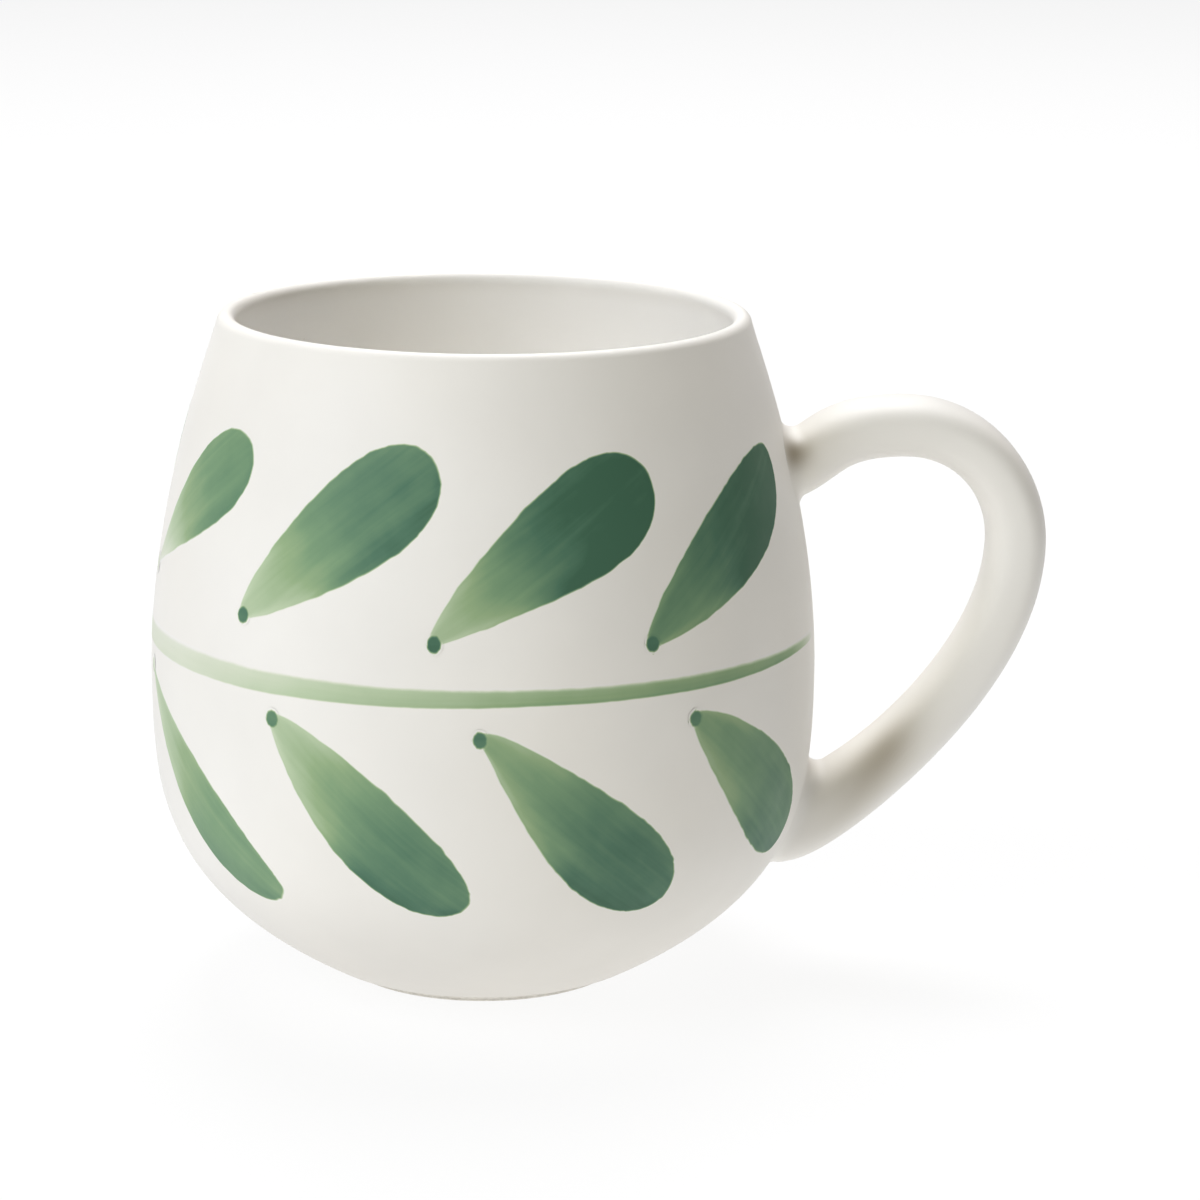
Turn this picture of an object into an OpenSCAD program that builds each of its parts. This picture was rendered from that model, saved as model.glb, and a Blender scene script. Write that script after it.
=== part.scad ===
// A round-bellied stoneware mug with one loop handle, a satin white glaze
// and a brush-painted stem with leaves. Millimetres, +Z up, origin at the
// centre of the foot ring on the table, handle along +X.

/* [Cup] */
// Height from the table to the crown of the lip
mug_height = 94.4; // [90:0.2:100]
// Widest diameter of the belly
belly_d = 94; // [91:0.5:98]
// Height of the widest point
belly_z = 43.5; // [41:0.5:46]
// Outer diameter just under the lip
lip_d = 74.5; // [72:0.5:78]
// Radius of the rounded lip
lip_round = 1.3; // [1:0.1:1.6]
// Thickness of the wall at the belly, glaze included
wall = 3.6; // [3:0.1:4.2]
// Height of the inside floor above the table
floor_z = 5.6; // [5:0.1:7]

/* [Foot] */
// Outer diameter of the ring that touches the table
foot_d = 40.6; // [38:0.2:43]
// Width of the flat of the ring
foot_ring_w = 3.2; // [2:0.1:4]
// Height of the foot ring
foot_height = 1.9; // [1.5:0.1:2.2]
// Depth of the hollow inside the ring
foot_hollow = 1.5; // [1:0.1:1.7]

/* [Handle] */
// Height of the top of the handle's centre line
handle_top_z = 78.4; // [76:0.2:80]
// Distance from the mug's axis to the outermost point of the centre line
handle_reach = 75.3; // [73:0.5:80]
// Height of that outermost point
handle_reach_z = 61.8; // [60:0.2:63]
// Thickness of the handle, seen from the side
handle_t = 8.3; // [7.5:0.1:9.5]
// Width of the handle, seen from the end
handle_w = 12.6; // [11:0.2:14]
// How square the section is: 2 is an ellipse, more is squarer
handle_square = 2.7; // [2:0.1:3]

/* [Glaze and paint] */
// Thickness of the glaze
glaze_t = 0.3; // [0.25:0.05:0.4]
// Thickness of the painted colour
paint_t = 0.12; // [0.1:0.02:0.2]
// Thickness of the slip pads between the handle and the cup
slip_t = 0.9; // [0.7:0.1:1.2]

/* [Leaves] */
// Number of leaves above the stem, and of leaves below it
leaf_count = 8; // [8:1:8]
// Angle between two neighbouring leaves
leaf_spacing = 37; // [35:0.5:38]
// Length of a leaf
leaf_length = 34; // [30:0.5:36]
// Greatest width of a leaf
leaf_w = 12.4; // [10:0.2:13]
// Height at which the upper leaves start
upper_leaf_z = 58; // [57:0.5:60]
// Height at which the lower leaves start
lower_leaf_z = 45.6; // [44:0.2:46.5]
// Height of the middle of the stem
stem_z = 50.6; // [49.5:0.1:52]
// Width of the stem
stem_w = 2.4; // [1.6:0.1:3]
// Diameter of the dab of colour at the start of each leaf
dot_d = 2.8; // [2:0.1:3.2]

/* [Hidden] */

$fn = 96;
belly_r = belly_d / 2;
foot_r = foot_d / 2;

// Steps along each curve of the cup's profile
wall_steps = 14;
lip_steps = 10;
// How far the wall leans inwards where it meets the lip, in degrees
lip_lean = 12.7;
lip_centre = [lip_d / 2 - lip_round, mug_height - lip_round];

// The glazed wall starts a little outside the foot ring
skirt = [foot_r + 3.5, foot_height];
skirt_top = [foot_r + 1.9, foot_height];
foot_edge = 0.5;

// Handle: rings along the sweep, points round each ring
handle_steps = 12;
handle_sides = 20;
upper_root = [42.8, 72.5];
lower_root = [42.8, 20.6];
// Lead of the centre line out of the cup at each root
upper_lead = [5.2, 1.9];
lower_lead = [7, 0.8];
handle_top_x = 59.2;
// Pull of the curve before and after its top, and before and after its outermost point
top_pull = [11, 9.6];
reach_pull = [8.6, 20];
// How much the handle swells at its upper and its lower root
root_swell = [0.2, 1.4];
// Length of handle beyond each root, which is cut away where it meets the cup
root_stub = 8;
// Oval outlines of the two slip pads, as [height of centre, half width, half height]
upper_pad = [72.7, 7.8, 6.4];
lower_pad = [21.8, 8.4, 8.8];

// First leaf of each row, as an angle from the front (-Y) towards the handle
upper_leaf_start = 28.5;
lower_leaf_start = 37;
// Tilt of each row's leaves from level, and half of the angle that a leaf spans
upper_leaf_tilt = 39;
lower_leaf_tilt = -43;
leaf_half_angle = 17;
leaf_steps = 12;
// The stem's stroke stops short of the handle on both sides, in degrees
stem_gap = 16;

function curve_point(a, b, c, d, t) =
    a * pow(1 - t, 3) + b * 3 * t * pow(1 - t, 2) + c * 3 * t * t * (1 - t) + d * pow(t, 3);

// Points of the curve from a to d pulled towards b and c, without the first one
function curve(a, b, c, d, steps) =
    [for (i = [1:steps]) curve_point(a, b, c, d, i / steps)];

function arc(centre, r, from, to, steps) =
    [for (i = [0:steps]) let (a = from + (to - from) * i / steps)
        centre + r * [cos(a), sin(a)]];

function reversed(p) = [for (i = [len(p) - 1:-1:0]) p[i]];

// Unit vector to the left of the path at point i
function left_of(p, i) =
    let (d = p[min(i + 1, len(p) - 1)] - p[max(i - 1, 0)])
    [-d.y, d.x] / norm(d);

// The same path moved to its left by a distance
function shifted(p, distance) =
    [for (i = [0:len(p) - 1]) p[i] + distance * left_of(p, i)];

// Outside of the glaze: from the skirt over the belly to the crown of the lip
outer_path = concat(
    [skirt],
    curve(skirt, skirt + [21.6, 12.2], [belly_r, belly_z - 18.5], [belly_r, belly_z], wall_steps),
    curve([belly_r, belly_z], [belly_r, belly_z + 24.3],
          lip_centre + lip_round * [cos(lip_lean), sin(lip_lean)] + [0.7, -3.1],
          lip_centre + lip_round * [cos(lip_lean), sin(lip_lean)], wall_steps),
    [for (i = [1:lip_steps / 2]) let (a = lip_lean + (90 - lip_lean) * i / (lip_steps / 2))
        lip_centre + lip_round * [cos(a), sin(a)]]);

// Inside of the glaze: from the crown of the lip down to the middle of the floor
inner_start = lip_centre - lip_round * [cos(lip_lean), sin(lip_lean)];
inner_belly_r = belly_r - wall;
inner_path = concat(
    arc(lip_centre, lip_round, 90, 180 + lip_lean, lip_steps / 2),
    curve(inner_start, inner_start + [1.6, -7], [inner_belly_r, belly_z + 21],
          [inner_belly_r, belly_z], wall_steps),
    curve([inner_belly_r, belly_z], [inner_belly_r, belly_z - 23.5], [37.5, floor_z],
          [0, floor_z], wall_steps));

// The clay lies one glaze thickness under both
clay_outer = shifted(outer_path, glaze_t);
clay_inner_raw = shifted(inner_path, glaze_t);
clay_inner = concat([for (i = [1:len(clay_inner_raw) - 2]) clay_inner_raw[i]],
                    [[0, floor_z - glaze_t]]);

// Foot ring and the hollow under the floor, from the skirt inwards to the axis
foot_inner_r = foot_r - foot_ring_w;
foot_path = [skirt_top,
             [foot_r + foot_edge, foot_edge],
             [foot_r, 0],
             [foot_inner_r, 0],
             [foot_inner_r - foot_edge, foot_edge],
             [foot_inner_r - 2 * foot_edge, foot_hollow],
             [0, foot_hollow]];

// Solid bounded by the outside of the clay moved outwards by a distance
module cup_mass(distance) {
    rotate_extrude()
        polygon(concat(shifted(clay_outer, -distance), [[0, mug_height], [0, foot_height]]));
}

// Coat on the outside of the glaze between two distances from the clay
module outside_coat(from, to) {
    rotate_extrude()
        polygon(concat(shifted(clay_outer, -from), reversed(shifted(clay_outer, -to))));
}

handle_top = [handle_top_x, handle_top_z];
handle_end = [handle_reach, handle_reach_z];

// Centre line of the handle between its roots, in the plane of the handle
loop_path = concat(
    [upper_root],
    curve(upper_root, upper_root + upper_lead, handle_top - [top_pull[0], 0],
          handle_top, handle_steps),
    curve(handle_top, handle_top + [top_pull[1], 0],
          handle_end + [0, reach_pull[0]], handle_end, handle_steps),
    curve(handle_end, handle_end - [0, reach_pull[1]],
          lower_root + lower_lead, lower_root, handle_steps));

// The same line with a straight stub at each end
function handle_path(stub) = concat(
    [upper_root - stub * upper_lead / norm(upper_lead)],
    loop_path,
    [lower_root - stub * lower_lead / norm(lower_lead)]);

// The handle swells towards its roots; u runs from 0 at the upper root to 1
function swell(u) = root_swell[0] * exp(-pow(u / 0.07, 2)) + root_swell[1] * exp(-pow((1 - u) / 0.12, 2));

// Point of a rounded oval with half sizes a and b, at an angle
function oval_point(a, b, angle, square) =
    [a * sign(cos(angle)) * pow(abs(cos(angle)), 2 / square),
     b * sign(sin(angle)) * pow(abs(sin(angle)), 2 / square)];

// One ring of the sweep round point i of a path
function handle_ring(path, i, grow) =
    let (extra = swell(i / (len(path) - 1)) + grow,
         side = left_of(path, i),
         centre = path[i])
    [for (k = [0:handle_sides - 1])
        let (q = oval_point(handle_t / 2 + extra, handle_w / 2 + extra,
                            360 * k / handle_sides, handle_square))
        [centre.x + q.x * side.x, q.y, centre.y + q.x * side.y]];

// Swept solid of the handle, grown all round by a distance
module handle_sweep(grow, stub = root_stub) {
    path = handle_path(stub);
    rings = len(path);
    points = [for (i = [0:rings - 1]) each handle_ring(path, i, grow)];
    sides = handle_sides;
    walls = [for (i = [0:rings - 2], k = [0:sides - 1])
        let (a = i * sides + k, b = i * sides + (k + 1) % sides)
        each [[a, b + sides, a + sides], [a, b, b + sides]]];
    first_end = [for (k = [sides - 1:-1:0]) k];
    last_end = [for (k = [0:sides - 1]) (rings - 1) * sides + k];
    polyhedron(points, concat([first_end, last_end], walls));
}

// Oval prism along +X through one root of the handle
module root_prism(pad) {
    length = belly_r + 10;
    translate([0, 0, pad[0]])
        rotate([90, 0, 90])
            linear_extrude(length)
                polygon([for (k = [0:27]) oval_point(pad[1], pad[2], 360 * k / 28, 2)]);
}

module slip_pad(pad) {
    color("ivory")
        intersection() {
            outside_coat(0, slip_t);
            root_prism(pad);
        }
}

// Half width of a leaf at x, from 0 at its start to 1 at its round end
function leaf_half_width(x) = leaf_w / 2 * pow(x, 0.62) * sqrt(1 - pow(x, 5)) / 0.714;

// Outline of a leaf that starts at the origin and points along +X
leaf_outline = concat(
    [for (i = [0:leaf_steps]) let (x = sin(90 * i / leaf_steps))
        [x * leaf_length, leaf_half_width(x)]],
    [for (i = [leaf_steps - 1:-1:1]) let (x = sin(90 * i / leaf_steps))
        [x * leaf_length, -leaf_half_width(x)]]);

// Faces the shape drawn in the X-Z plane outwards at an angle from the front
module facing(angle) {
    rotate([0, 0, angle])
        rotate([90, 0, 0])
            linear_extrude(belly_r + 10)
                children();
}

module painted(angle) {
    intersection() {
        outside_coat(glaze_t, glaze_t + paint_t);
        facing(angle) children();
    }
}

// Sideways distance of a leaf's start from the middle of the leaf
leaf_back = belly_r * 0.95 * sin(leaf_half_angle);

module leaf(start_angle, start_z, tilt) {
    color([0.35, 0.52, 0.36])
        painted(start_angle + leaf_half_angle)
            translate([-leaf_back, start_z])
                difference() {
                    rotate(tilt) polygon(leaf_outline);
                    circle(d = dot_d);
                }
}

module leaf_dot(start_angle, start_z) {
    painted(start_angle + leaf_half_angle)
        translate([-leaf_back, start_z])
            circle(d = dot_d);
}

module leaf_dots(first_angle, start_z) {
    color([0.25, 0.42, 0.30])
        for (i = [0:leaf_count - 1])
            leaf_dot(first_angle - i * leaf_spacing, start_z);
}

module upper_leaf(number) {
    leaf(upper_leaf_start - (number - 1) * leaf_spacing, upper_leaf_z, upper_leaf_tilt);
}

module lower_leaf(number) {
    leaf(lower_leaf_start - (number - 1) * leaf_spacing, lower_leaf_z, lower_leaf_tilt);
}

module upper_leaf_dots() {
    leaf_dots(upper_leaf_start, upper_leaf_z);
}

module lower_leaf_dots() {
    leaf_dots(lower_leaf_start, lower_leaf_z);
}

module stem_stroke() {
    color([0.62, 0.70, 0.54])
        rotate([0, 0, stem_gap])
            rotate_extrude(angle = 360 - 2 * stem_gap)
                intersection() {
                    polygon(concat(shifted(clay_outer, -glaze_t),
                                   reversed(shifted(clay_outer, -glaze_t - paint_t))));
                    translate([0, stem_z - stem_w / 2]) square([belly_r + 10, stem_w]);
                }
}

module cup_body() {
    color("linen")
        rotate_extrude()
            polygon(concat(clay_outer, clay_inner, reversed(foot_path)));
}

module outer_glaze() {
    color("floralwhite")
        difference() {
            outside_coat(0, glaze_t);
            root_prism(upper_pad);
            root_prism(lower_pad);
        }
}

module liner_glaze() {
    color("floralwhite")
        rotate_extrude()
            polygon(concat(inner_path, reversed(clay_inner), [clay_outer[len(clay_outer) - 1]]));
}

module base_glaze() {
    hollow_r = foot_inner_r - 2 * foot_edge;
    color("floralwhite")
        translate([0, 0, foot_hollow - glaze_t])
            cylinder(r = hollow_r, h = glaze_t);
}

module upper_handle_joint() {
    slip_pad(upper_pad);
}

module lower_handle_joint() {
    slip_pad(lower_pad);
}

module handle() {
    color("linen")
        difference() {
            handle_sweep(-glaze_t);
            cup_mass(slip_t);
        }
}

module handle_glaze() {
    color("floralwhite")
        difference() {
            handle_sweep(0);
            handle_sweep(-glaze_t, root_stub + 1);
            cup_mass(slip_t);
        }
}

cup_body();
handle();
upper_handle_joint();
lower_handle_joint();
outer_glaze();
liner_glaze();
base_glaze();
handle_glaze();
stem_stroke();
for (n = [1:leaf_count])
    upper_leaf(n);
for (n = [1:leaf_count])
    lower_leaf(n);
upper_leaf_dots();
lower_leaf_dots();
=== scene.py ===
"""Looks of a round-bellied stoneware mug: a satin white glaze over clay, one loop
handle, and a brush-painted stem with a row of leaves above it and one below it.

Lengths are in millimetres, as in part.scad, and add_piece turns them into metres.
Angles round the cup are in degrees from the front (-Y) towards the handle (+X).
"""
import math
import random
from collections import namedtuple

import bmesh
import bpy
from mathutils import Matrix, Vector


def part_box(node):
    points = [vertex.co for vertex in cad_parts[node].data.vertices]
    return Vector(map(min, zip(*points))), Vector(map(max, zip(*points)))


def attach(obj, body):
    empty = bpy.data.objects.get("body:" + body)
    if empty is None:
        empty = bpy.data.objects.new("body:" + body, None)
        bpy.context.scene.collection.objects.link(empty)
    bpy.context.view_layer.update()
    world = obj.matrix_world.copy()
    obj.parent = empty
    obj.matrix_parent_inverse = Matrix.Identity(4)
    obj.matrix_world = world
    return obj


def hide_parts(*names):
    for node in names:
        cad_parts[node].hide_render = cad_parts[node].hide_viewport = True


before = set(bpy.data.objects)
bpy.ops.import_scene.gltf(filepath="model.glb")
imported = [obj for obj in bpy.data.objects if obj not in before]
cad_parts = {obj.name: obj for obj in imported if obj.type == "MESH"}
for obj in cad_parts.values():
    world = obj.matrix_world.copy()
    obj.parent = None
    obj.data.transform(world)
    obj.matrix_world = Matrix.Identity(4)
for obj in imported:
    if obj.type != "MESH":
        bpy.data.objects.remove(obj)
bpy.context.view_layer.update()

# One millimetre in Blender's metres
MM = 0.001

# Cup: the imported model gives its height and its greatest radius
MUG_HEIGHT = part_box("liner_glaze")[1].z / MM
BELLY_R = -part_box("outer_glaze")[0].y / MM
BELLY_Z = 43.5
LIP_R = 37.25
LIP_ROUND = 1.3
LIP_LEAN = math.radians(12.7)
WALL = 3.6
FLOOR_Z = 5.6
GLAZE_T = 0.3

# Pulls of the outside's curves: out of the skirt, into and out of the belly, into the lip
SKIRT_PULL = Vector((21.6, 12.2))
BELLY_PULL = (18.5, 24.3)
LIP_PULL = Vector((0.7, -3.1))
# The same inside, from the lip down, and the radius towards which the floor is pulled
INNER_LIP_PULL = Vector((1.6, -7))
INNER_BELLY_PULL = (21, 23.5)
FLOOR_PULL_R = 37.5
# Depth under the lip at which the poured liner glaze has its full colour, lighter than the outside as
# painted light
PAINTED_LIGHT_DEPTH = 4
# Painted shade on the outer glaze towards the foot, from 0 to 1, and the height where it starts
FOOT_PAINTED_SHADE = 0.17
PAINTED_SHADE_TOP_Z = 24

# Foot ring
FOOT_R = 20.3
FOOT_RING_W = 3.2
FOOT_HEIGHT = 1.9
FOOT_HOLLOW = 1.5
FOOT_ROUND = 0.3
# Level of the glaze in the hollow under the cup
POOL_Z = 1.2
# The glazed wall starts a little outside the foot ring
SKIRT = Vector((FOOT_R + 3.5, FOOT_HEIGHT))

# Handle: centre line in the X-Z plane, thickness in that plane and width along Y
HANDLE_T = 8.3
HANDLE_W = 12.6
HANDLE_SQUARE = 2.7
UPPER_ROOT = Vector((42.8, 72.5))
UPPER_LEAD = Vector((5.2, 1.9))
HANDLE_TOP = Vector((59.2, 78.4))
HANDLE_END = Vector((75.3, 61.8))
LOWER_ROOT = Vector((42.8, 20.6))
LOWER_LEAD = Vector((7.0, 0.8))
# Pull of the curve before and after its top, and before and after its outermost point
TOP_PULL = (11.0, 9.6)
END_PULL = (8.6, 20.0)
# How much the handle swells at its upper and its lower root, and over what share of it
ROOT_SWELL = (0.2, 1.4)
SWELL_REACH = (0.07, 0.12)
# How far the centre line runs on into the cup
ROOT_STUB = 8.0
# Radius of the glaze-filled corner between handle and cup, outside, beside and
# inside the loop
UPPER_FILLET = (1.7, 3.0, 1.3)
LOWER_FILLET = (2.5, 2.5, 1.8)
# Painted shade at two places on each side of the handle, in the crease under the upper root
# and on the inner side of the lower bend: their middles, how dark they are from 0 to 1, and how
# far they reach. The second runs along BEND_RUN
UPPER_CREASE = Vector((43.0, 6.6, 75.6))
CREASE_PAINTED_SHADE = 0.97
CREASE_REACH = 2.3
LOWER_BEND = Vector((57.0, 6.0, 31.8))
BEND_RUN = Vector((0.62, 0, 0.78)).normalized()
BEND_PAINTED_SHADE = 0.75
BEND_REACH_UP = 6
BEND_REACH_DOWN = 11
BEND_REACH_ASIDE = 3.0

# Sides of the turned pieces, and steps along each curve of their profiles
CUP_SIDES = 192
FOOT_SIDES = 128
GLAZE_STEPS = 60
CLAY_STEPS = 40
WALL_STEPS = 120
# A profile's point nearer the axis than this is on it
ON_AXIS = 1e-6

# How far the paint stands above the glaze, and reaches below it out of sight
PAINT_LIFT = 0.05
PAINT_DEPTH = 0.04
# Unpainted border round each painted piece, and how far its rim is sunk in the glaze
PAINT_BORDER = 0.4
PAINT_SINK = 0.015
# Distances inside a stroke's edge at which its colour is just gone and is full
FADE = (-0.16, 0.24)

# One leaf: where its dot is, its length, its tilt in degrees and how far it bends; the
# half width, bluntness of start and bluntness of end of its upper and its lower side;
# then how dense the paint is at its start, at its end and in its dot
Leaf = namedtuple("Leaf", "angle height length tilt bend upper lower paint")
UPPER_LEAVES = [
    Leaf(28.7, 56.7, 35.8, 38.5, 1.2, (4.3, 0.44, 2.9), (8.4, 0.83, 2.3), (0.66, 1.00, 0.92)),
    Leaf(-8.1, 57.8, 36.0, 37.0, 0.4, (7.1, 0.58, 5.6), (7.2, 0.95, 4.6), (0.30, 1.02, 0.92)),
    Leaf(-44.1, 58.7, 34.4, 41.7, -0.6, (7.1, 0.57, 4.2), (6.6, 0.76, 4.8), (0.25, 0.78, 0.80)),
    Leaf(-81.3, 59.9, 32.2, 39.8, 0.4, (5.9, 1.40, 2.0), (5.9, 1.13, 2.0), (0.06, 0.60, 0.10)),
    Leaf(-124, 59.0, 34.3, 39.0, 0.5, (6.5, 0.65, 3.6), (6.8, 0.86, 3.4), (0.22, 0.82, 0.80)),
    Leaf(-160, 58.2, 35.3, 40.5, -0.4, (6.8, 0.56, 4.6), (7.0, 0.91, 4.0), (0.34, 0.92, 0.86)),
    Leaf(164, 58.6, 33.8, 38.0, 0.8, (6.1, 0.60, 4.0), (7.3, 0.84, 3.2), (0.26, 0.74, 0.76)),
    Leaf(127, 57.6, 34.8, 41.0, 0.2, (6.7, 0.54, 3.8), (6.7, 0.93, 4.4), (0.40, 0.88, 0.84)),
]
LOWER_LEAVES = [
    Leaf(36.8, 45.8, 33.8, -41.0, 1.1, (5.3, 0.48, 5.0), (7.6, 0.72, 2.9), (0.52, 0.73, 0.78)),
    Leaf(-0.6, 45.3, 36.6, -42.6, -1.2, (7.1, 0.51, 3.7), (6.4, 1.24, 2.0), (0.42, 0.85, 0.80)),
    Leaf(-36.6, 45.7, 36.2, -42.5, 0.0, (5.4, 0.55, 2.0), (7.0, 0.72, 3.1), (0.27, 0.77, 0.78)),
    Leaf(-77.7, 46.0, 40.2, -39.7, 2.0, (2.3, 1.23, 2.0), (8.2, 1.02, 2.0), (0.20, 0.56, 0.15)),
    Leaf(-116, 45.6, 35.3, -41.5, 0.6, (5.7, 0.58, 3.0), (6.8, 0.89, 2.8), (0.30, 0.72, 0.74)),
    Leaf(-154, 45.4, 35.8, -43.0, -0.6, (6.5, 0.54, 3.4), (6.5, 0.97, 2.4), (0.44, 0.84, 0.81)),
    Leaf(168, 45.8, 34.6, -42.0, 0.4, (5.8, 0.60, 3.2), (7.1, 0.80, 3.0), (0.28, 0.70, 0.73)),
    Leaf(130, 45.6, 35.4, -41.0, 0.9, (6.2, 0.52, 3.8), (6.7, 0.93, 2.6), (0.38, 0.80, 0.79)),
]
# How far each leaf starts before the middle of its dot
LEAF_LEAD = 0.8
# Rings of a leaf's mesh, as shares of the way from its middle to its edge
LEAF_RINGS = (0.985, 0.96, 0.92, 0.87, 0.81, 0.74, 0.66, 0.58, 0.49, 0.40, 0.31, 0.22, 0.13, 0.05)
DOT_R = 1.05
# How far a dot stands above the glaze at its rim, and how much more at its middle
DOT_LIFT = 0.055
DOT_CROWN = 0.02
# Rings of a dot's mesh, as distances outside its edge
DOT_RINGS = (0.35, 0.25, 0.15, 0.05, -0.05, -0.2, -0.45, -0.8)
DOT_SIDES = 36

# Stem: one stroke that starts behind the handle and ends short of it in front
STEM_Z = 50.6
STEM_START = -255
STEM_END = 80
# How far it wanders up and down twice round the cup
STEM_DRIFT = 0.15
STEM_STEPS = 260
# Where the stem's mesh has its lines, as shares of its half width
STEM_LINES = (-1.0, -0.9, -0.8, -0.6, -0.3, 0.0, 0.3, 0.6, 0.8, 0.9, 1.0)
# Length of stroke in one degree round the cup
STEM_DEGREE = 0.8
# Which part of the bristle noise the stem shows
STEM_SEED = 3.0

# Stage: floor, lights and camera, in metres, degrees and the lens's own millimetres
FLOOR_REACH = 4.0
FLOOR_COLOUR = (0.1, 0.1, 0.1, 1)
FLOOR_GLOW = 0.87
SOFTBOX_DISTANCE = 1.6
SOFTBOX_SIZE = 0.9
MUG_MIDDLE = Vector((0, 0, 0.045))
LENS = 114.4
SENSOR_W = 36
CAMERA_PLACE = (0, -0.5263, 0.1787)
CAMERA_TURN = -1.79
CAMERA_DIP = 13.43
CAMERA_ROLL = 0.56

# Fineness of the noise in each material, in bumps per metre
WARMTH = 18
CLOUDS = 55
RIPPLES = 95
SHEEN = 240
SPECKS = 620
GRAIN = 1500
PAINT_POOLS = 230
PAINT_RAGGED = 450
CLAY_STAINS = 260
CLAY_SAND = 1400
# Height of the bumps, in metres
GLAZE_BUMP = 0.00004
CLAY_BUMP = 0.00006
GLAZE_SPECULAR = 0.28

# Colours, in linear light
GLAZE_COLOUR = (0.89, 0.872, 0.83, 1)
# Painted light: the inside is lighter than the outside to stand in for light falling into the cup
PAINTED_LIGHT_INSIDE_COLOUR = (0.97, 0.955, 0.92, 1)
# Painted shade: a brown-grey that darkens the glaze in the handle's creases and towards the foot
PAINTED_SHADE_COLOUR = (0.40, 0.35, 0.27, 1)
CLAY_COLOUR = (0.80, 0.77, 0.70, 1)
STAIN_COLOUR = (0.70, 0.65, 0.56, 1)
# Paint over the glaze, from a bare surface to the densest pool
PAINT_COLOURS = [
    (0.00, GLAZE_COLOUR),
    (0.09, (0.71, 0.75, 0.61, 1)),
    (0.22, (0.49, 0.60, 0.40, 1)),
    (0.40, (0.30, 0.43, 0.23, 1)),
    (0.55, (0.195, 0.33, 0.183, 1)),
    (0.72, (0.125, 0.247, 0.145, 1)),
    (0.86, (0.079, 0.186, 0.117, 1)),
    (1.00, (0.054, 0.143, 0.086, 1)),
]


# ---------------------------------------------------------------- curves

def smooth(low, high, value):
    """0 below low, 1 above high, and an even rise between them."""
    t = min(max((value - low) / (high - low), 0), 1)
    return t * t * (3 - 2 * t)


def hump(value, centre, width):
    """A bell curve of height 1."""
    return math.exp(-((value - centre) / width) ** 2)


def bezier(a, b, c, d, t):
    s = 1 - t
    return a * s ** 3 + b * (3 * t * s * s) + c * (3 * t * t * s) + d * t ** 3


def curve(a, b, c, d, steps):
    """Points of the curve from a to d pulled towards b and c, without the first."""
    return [bezier(a, b, c, d, i / steps) for i in range(1, steps + 1)]


def arc(centre, radius, start, end, steps):
    turns = [start + (end - start) * i / steps for i in range(steps + 1)]
    return [centre + radius * Vector((math.cos(a), math.sin(a))) for a in turns]


def moved_left(path, distance):
    """The same path moved to its left by a distance."""
    moved = []
    for i, point in enumerate(path):
        run = path[min(i + 1, len(path) - 1)] - path[max(i - 1, 0)]
        moved.append(point + distance * Vector((-run.y, run.x)).normalized())
    return moved


# ---------------------------------------------------------------- cup profile

LIP_CENTRE = Vector((LIP_R - LIP_ROUND, MUG_HEIGHT - LIP_ROUND))
LIP_SIDE = LIP_ROUND * Vector((math.cos(LIP_LEAN), math.sin(LIP_LEAN)))


def outer_profile(steps):
    """Outside of the glaze as (radius, height), from the skirt to the crown of the lip."""
    belly = Vector((BELLY_R, BELLY_Z))
    lip = LIP_CENTRE + LIP_SIDE
    lower = curve(SKIRT, SKIRT + SKIRT_PULL, belly - Vector((0, BELLY_PULL[0])), belly, steps)
    upper = curve(belly, belly + Vector((0, BELLY_PULL[1])), lip + LIP_PULL, lip, steps)
    crown = arc(LIP_CENTRE, LIP_ROUND, LIP_LEAN, math.pi / 2, steps=8)
    return [SKIRT] + lower + upper + crown[1:]


def inner_profile(steps):
    """Inside of the glaze, from the crown of the lip to the middle of the floor."""
    belly = Vector((BELLY_R - WALL, BELLY_Z))
    start = LIP_CENTRE - LIP_SIDE
    floor = Vector((0, FLOOR_Z))
    above, below = (Vector((0, pull)) for pull in INNER_BELLY_PULL)
    crown = arc(LIP_CENTRE, LIP_ROUND, math.pi / 2, math.pi + LIP_LEAN, steps=8)
    upper = curve(start, start + INNER_LIP_PULL, belly + above, belly, steps)
    lower = curve(belly, belly - below, Vector((FLOOR_PULL_R, FLOOR_Z)), floor, steps)
    return crown + upper + lower


def foot_profile():
    """Bare clay foot, from the skirt inwards to the axis, with its edges worn round."""
    inner_r = FOOT_R - FOOT_RING_W
    under_skirt = Vector((FOOT_R + 2.2, FOOT_HEIGHT))
    outer_edge = Vector((FOOT_R - FOOT_ROUND, FOOT_ROUND))
    inner_edge = Vector((inner_r + FOOT_ROUND, FOOT_ROUND))
    hollow = Vector((inner_r - 1.0, FOOT_HOLLOW))
    neck = curve(under_skirt, under_skirt + Vector((-1.0, -0.05)), Vector((FOOT_R + 0.7, 1.1)),
                 Vector((FOOT_R + 0.05, 0.45)), steps=6)
    outer_round = arc(outer_edge, FOOT_ROUND, math.radians(20), math.radians(-90), steps=5)
    inner_round = arc(inner_edge, FOOT_ROUND, math.radians(-90), math.radians(-160), steps=5)
    return [under_skirt] + neck + outer_round + inner_round + [hollow, Vector((0, FOOT_HOLLOW))]


OUTER_WALL = outer_profile(WALL_STEPS)


def wall_at(z):
    """Radius of the outside at a height, and its outward direction as (radius, height)."""
    for below, above in zip(OUTER_WALL, OUTER_WALL[1:]):
        if z <= above.y:
            break
    run = above - below
    radius = below.x + run.x * (z - below.y) / run.y
    return radius, Vector((run.y, -run.x)).normalized()


def turned(radius, z, angle):
    """The point at a radius and a height, at an angle in degrees from the front."""
    a = math.radians(angle)
    return Vector((radius * math.sin(a), -radius * math.cos(a), z))


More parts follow.
